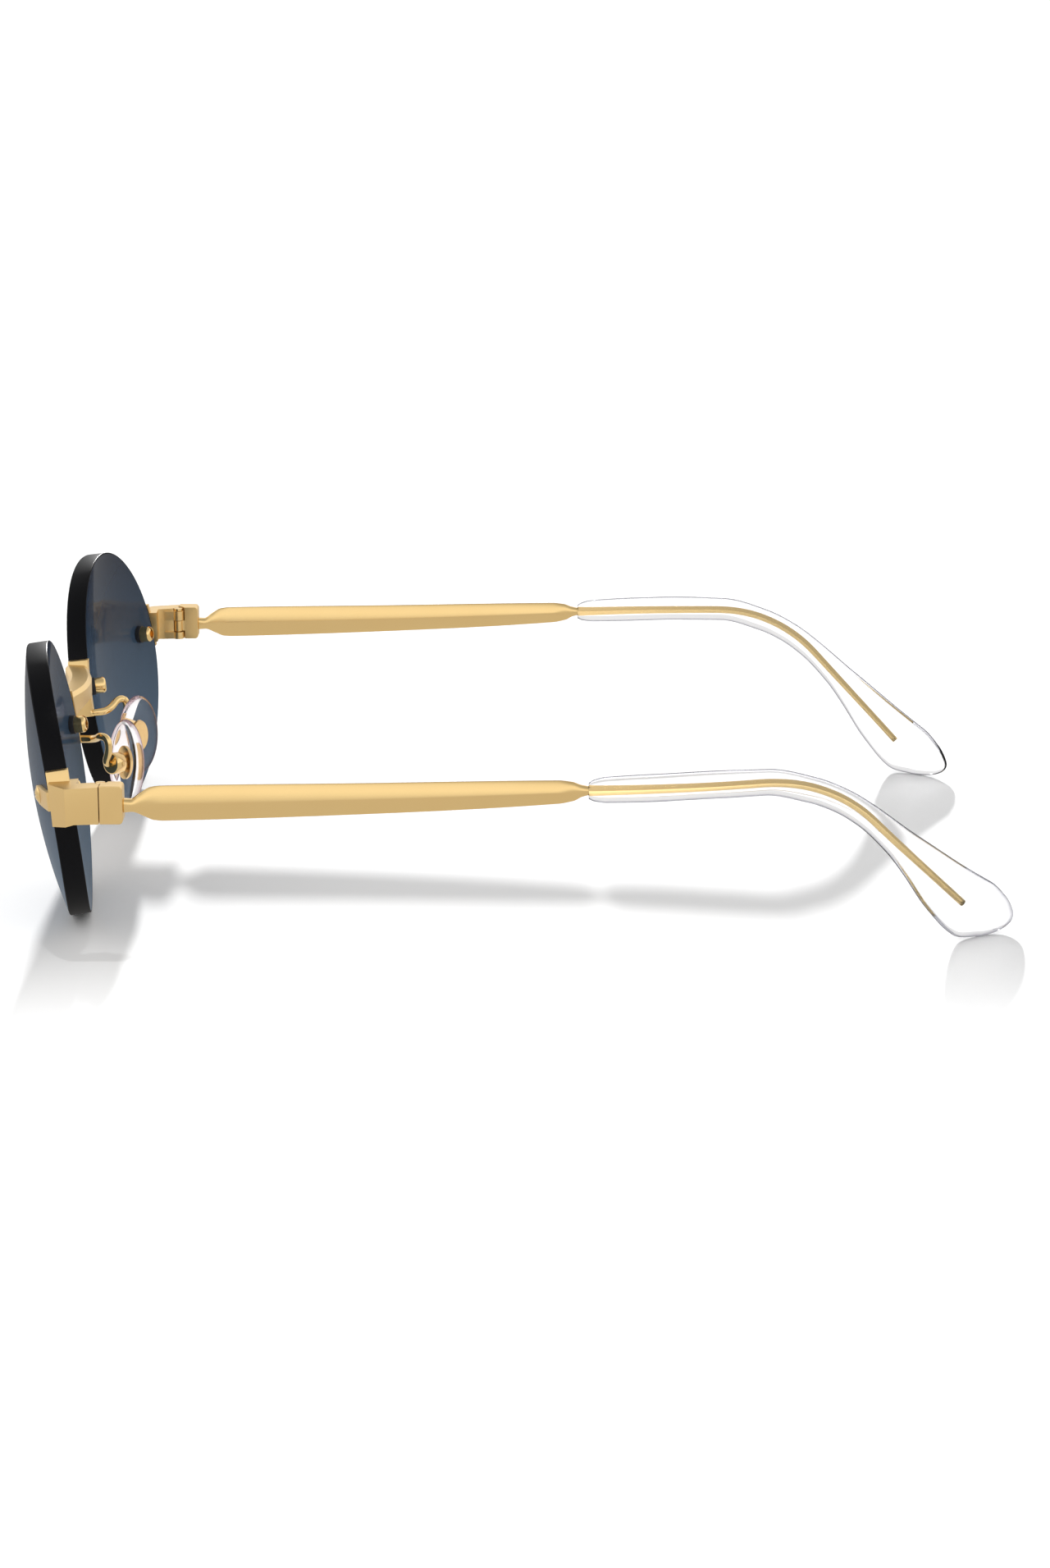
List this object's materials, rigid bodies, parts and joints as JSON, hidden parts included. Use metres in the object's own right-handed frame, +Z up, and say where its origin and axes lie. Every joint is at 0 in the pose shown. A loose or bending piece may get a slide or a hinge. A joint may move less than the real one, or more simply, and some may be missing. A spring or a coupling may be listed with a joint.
{
  "type": "rimless oval glasses",
  "caption": "Rimless oval tinted glasses: drilled lenses joined by a metal bridge, rocking nose pads and folding metal temples with clear tips.",
  "frame": {"origin": "middle of the footprint, on the surface that the open glasses stand on", "axes": "+X to the wearer's left, -Y the way the wearer looks, +Z up"},
  "size_m": [0.1304, 0.1523, 0.0421],
  "materials": {
    "gold": "polished pale gold plating",
    "tinted_lens": "polished, blue-grey graded tint",
    "black_washer": "matt black",
    "hinge_steel": "satin, gold toned",
    "clear_tip": "clear polished acetate",
    "pad_brass": "satin",
    "clear_pad": "clear polished"
  },
  "bodies": {
    "front": {"bridge": "gold", "endpiece_left": "gold", "endpiece_right": "gold", "hinge_screw_left": "hinge_steel", "hinge_screw_right": "hinge_steel", "lens_left": "tinted_lens", "lens_right": "tinted_lens", "nasal_nut_left": "gold", "nasal_nut_right": "gold", "nasal_screw_left": "gold", "nasal_screw_right": "gold", "nasal_washer_left": "black_washer", "nasal_washer_right": "black_washer", "pad_arm_left": "gold", "pad_arm_right": "gold", "pad_box_left": "gold", "pad_box_right": "gold", "pad_pin_left": "hinge_steel", "pad_pin_right": "hinge_steel", "temporal_nut_left": "gold", "temporal_nut_right": "gold", "temporal_screw_left": "gold", "temporal_screw_right": "gold", "temporal_washer_left": "black_washer", "temporal_washer_right": "black_washer"},
    "temple_left": {"hinge_block_left": "gold", "temple_left": "gold", "temple_tip_left": "clear_tip"},
    "temple_right": {"hinge_block_right": "gold", "temple_right": "gold", "temple_tip_right": "clear_tip"},
    "pad_left": {"nose_pad_left": "clear_pad", "pad_core_left": "pad_brass"},
    "pad_right": {"nose_pad_right": "clear_pad", "pad_core_right": "pad_brass"}
  },
  "joints": [
    {"name": "hinge_left", "type": "hinge", "parent": "front", "child": "temple_left", "pos_m": [0.062, -0.0612, 0.0241], "axis": [0, 0, 1], "range_deg": [0, 87]},
    {"name": "hinge_right", "type": "hinge", "parent": "front", "child": "temple_right", "pos_m": [-0.062, -0.0612, 0.0241], "axis": [0, 0, -1], "range_deg": [0, 74]},
    {"name": "pad_rock_left", "type": "hinge", "parent": "front", "child": "pad_left", "pos_m": [0.01115, -0.0647, 0.01719], "axis": [-0.6157, -0.7803, -0.1097], "range_deg": [-8, 8]},
    {"name": "pad_rock_right", "type": "hinge", "parent": "front", "child": "pad_right", "pos_m": [-0.01115, -0.0647, 0.01719], "axis": [-0.6157, 0.7803, 0.1097], "range_deg": [-8, 8]}
  ]
}
